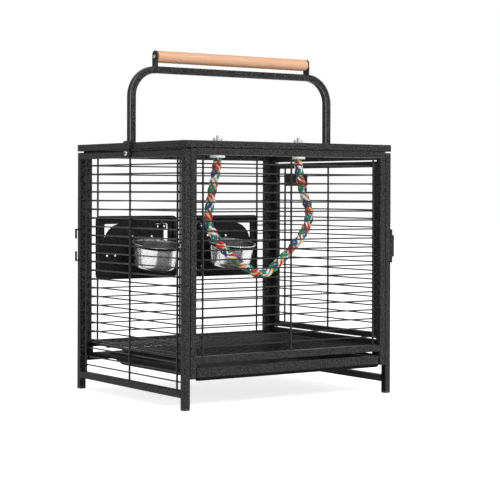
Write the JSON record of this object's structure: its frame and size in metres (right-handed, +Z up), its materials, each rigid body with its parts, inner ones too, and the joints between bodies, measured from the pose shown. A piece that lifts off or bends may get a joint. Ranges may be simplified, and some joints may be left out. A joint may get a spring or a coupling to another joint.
{
  "type": "parrot travel cage",
  "caption": "Portable parrot cage of square tube and welded wire, with a carrying handle and perch, side door, swing-out feeders, pull-out tray, floor grate and hanging rope perch.",
  "frame": {"origin": "on the floor under the middle of the cage", "axes": "+X to the right along the front, -Y is the tray's front side, +Z up"},
  "size_m": [0.476, 0.386, 0.6387],
  "materials": {
    "coat": "hammered powder coat with a fine light speckle",
    "wire_coat": "powder coat on welded wire",
    "sheet_coat": "smooth powder coat on sheet steel",
    "bright": "zinc plated fasteners",
    "bowl_steel": "polished stainless steel",
    "foot_plastic": "matt",
    "disc_plastic": "satin",
    "perch_wood": "bare sanded hardwood",
    "rope_cotton": "braided cotton in several colours"
  },
  "bodies": {
    "frame": {"left_front_post": "coat", "left_back_post": "coat", "right_front_post": "coat", "right_back_post": "coat", "left_top_tube": "coat", "left_low_tube": "coat", "right_top_tube": "coat", "right_low_tube": "coat", "door_sill_tube": "coat", "foot_caps": "foot_plastic", "left_wire_panel": "wire_coat", "front_left_stile": "coat", "front_right_stile": "coat", "front_top_rail": "coat", "front_low_rail": "coat", "front_wire_panel": "wire_coat", "back_left_stile": "coat", "back_right_stile": "coat", "back_top_rail": "coat", "back_low_rails": "coat", "back_wire_panel": "wire_coat", "roof_rim": "coat", "roof_wire_panel": "wire_coat", "tray_runner_left": "sheet_coat", "tray_runner_right": "sheet_coat", "handle_tube": "coat", "handle_brackets": "coat", "handle_fasteners": "bright", "perch_tabs": "coat", "carrying_perch": "perch_wood", "post_hooks": "coat", "latch_plate": "coat", "door_hinge_pins": "bright", "feeder_plate_left": "coat", "feeder_plate_right": "coat", "feeder_pivots_left": "coat", "feeder_pivots_right": "coat", "rope_perch": "rope_cotton", "rope_discs": "disc_plastic", "rope_bolts": "bright", "rope_washers": "bright"},
    "door": {"door_hinge_stile": "coat", "door_latch_stile": "coat", "door_rails": "coat", "door_wire_panel": "wire_coat", "door_plate": "coat"},
    "latch": {"latch_slider": "coat"},
    "feeder_left": {"feeder_flap_left": "coat", "bowl_ring_left": "coat", "feeder_fasteners_left": "bright"},
    "feeder_right": {"feeder_flap_right": "coat", "bowl_ring_right": "coat", "feeder_fasteners_right": "bright"},
    "bowl_left": {"feeder_bowl_left": "bowl_steel"},
    "bowl_right": {"feeder_bowl_right": "bowl_steel"},
    "tray": {"tray_pan": "sheet_coat", "tray_front_bar": "coat"},
    "grate": {"floor_grate": "wire_coat"},
    "nut_left": {"wing_nut_left": "bright"},
    "nut_right": {"wing_nut_right": "bright"}
  },
  "joints": [
    {"name": "door_swing", "type": "hinge", "parent": "frame", "child": "door", "pos_m": [0.2245, 0.1698, 0.27], "axis": [0, 0, 1], "range_deg": [0, 110]},
    {"name": "latch_slide", "type": "slide", "parent": "frame", "child": "latch", "axis": [0, 1, 0], "range_m": [0, 0.009]},
    {"name": "feeder_left_swing", "type": "hinge", "parent": "frame", "child": "feeder_left", "pos_m": [-0.0444, 0.1866, 0.27], "axis": [0, 0, -1], "range_deg": [0, 105]},
    {"name": "feeder_right_swing", "type": "hinge", "parent": "frame", "child": "feeder_right", "pos_m": [0.0444, 0.1866, 0.27], "axis": [0, 0, 1], "range_deg": [0, 105]},
    {"name": "bowl_left_lift", "type": "slide", "parent": "feeder_left", "child": "bowl_left", "axis": [0, -0.1736, 0.9848], "range_m": [0, 0.06]},
    {"name": "bowl_right_lift", "type": "slide", "parent": "feeder_right", "child": "bowl_right", "axis": [0, -0.1736, 0.9848], "range_m": [0, 0.06]},
    {"name": "tray_slide", "type": "slide", "parent": "frame", "child": "tray", "axis": [0, -1, 0], "range_m": [0, 0.3]},
    {"name": "grate_lift", "type": "slide", "parent": "frame", "child": "grate", "axis": [0, 0, 1], "range_m": [0, 0.06]},
    {"name": "nut_left_spin", "type": "hinge", "parent": "frame", "child": "nut_left", "pos_m": [-0.0835, -0.073, 0.465], "axis": [0, 0, 1], "continuous": true},
    {"name": "nut_right_spin", "type": "hinge", "parent": "frame", "child": "nut_right", "pos_m": [0.1002, -0.073, 0.465], "axis": [0, 0, 1], "continuous": true}
  ]
}
